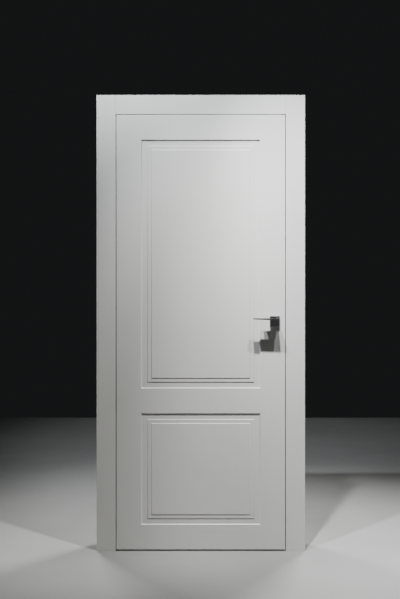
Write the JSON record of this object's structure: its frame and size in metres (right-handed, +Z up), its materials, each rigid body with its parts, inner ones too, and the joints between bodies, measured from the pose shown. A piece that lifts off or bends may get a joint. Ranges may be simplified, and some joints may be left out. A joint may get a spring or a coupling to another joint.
{
  "type": "interior door",
  "caption": "Flush interior door with milled panels, in its lining and flat casings, on concealed hinges, with a lever handle and a sliding latch bolt.",
  "frame": {"origin": "middle of the head jamb's flat top face, which the doorset is fixed to the lintel by", "axes": "+Z up; the leaf's front and the handle that the picture shows face -Y; +X from the hinge side to the lock side"},
  "size_m": [0.987, 0.1756, 2.1605],
  "materials": {
    "lacquer": "satin light grey-white lacquer on board",
    "black_nickel": "polished dark nickel plate",
    "hinge_metal": "satin",
    "satin_metal": "satin",
    "seal": "matt"
  },
  "bodies": {
    "frame": {"jamb_hinge_side": "lacquer", "jamb_lock_side": "lacquer", "jamb_head": "lacquer", "casing_front_hinge_side": "lacquer", "casing_front_lock_side": "lacquer", "casing_front_head": "lacquer", "casing_back_hinge_side": "lacquer", "casing_back_lock_side": "lacquer", "casing_back_head": "lacquer", "stop_hinge_side": "lacquer", "stop_lock_side": "lacquer", "stop_head": "lacquer", "seal_hinge_side": "seal", "seal_lock_side": "seal", "seal_head": "seal", "strike_plate": "satin_metal", "hinge_frame_plate_1": "hinge_metal", "hinge_frame_plate_2": "hinge_metal", "hinge_frame_plate_3": "hinge_metal"},
    "leaf": {"door_leaf": "lacquer", "hinge_leaf_plate_1": "hinge_metal", "hinge_leaf_plate_2": "hinge_metal", "hinge_leaf_plate_3": "hinge_metal", "lock_forend": "satin_metal", "rose_front": "black_nickel", "rose_back": "black_nickel"},
    "hinge_links": {"hinge_link_1": "hinge_metal", "hinge_link_2": "hinge_metal", "hinge_link_3": "hinge_metal"},
    "handle": {"lever_front": "black_nickel", "lever_back": "black_nickel", "spindle": "satin_metal"},
    "latch": {"latch_bolt": "satin_metal"}
  },
  "joints": [
    {"name": "leaf_swing", "type": "hinge", "parent": "frame", "child": "leaf", "pos_m": [-0.40175, -0.0603, -1.0735], "axis": [0, 0, -1], "range_deg": [0, 110]},
    {"name": "link_fold", "type": "hinge", "parent": "frame", "child": "hinge_links", "pos_m": [-0.40175, -0.0603, -1.0735], "axis": [0, 0, -1], "range_deg": [0, 55]},
    {"name": "lever_turn", "type": "hinge", "parent": "leaf", "child": "handle", "pos_m": [0.35, -0.0393, -1.0225], "axis": [0, -1, 0], "range_deg": [0, 40], "stiffness_Nm_per_rad": 1, "springref_deg": -45.84},
    {"name": "latch_slide", "type": "slide", "parent": "leaf", "child": "latch", "axis": [1, 0, 0], "range_m": [0, 0.009], "stiffness_N_per_m": 60, "springref_m": -0.01}
  ],
  "couplings": [
    {"joint": "link_fold", "follows": "leaf_swing", "ratio": 0.5}
  ]
}
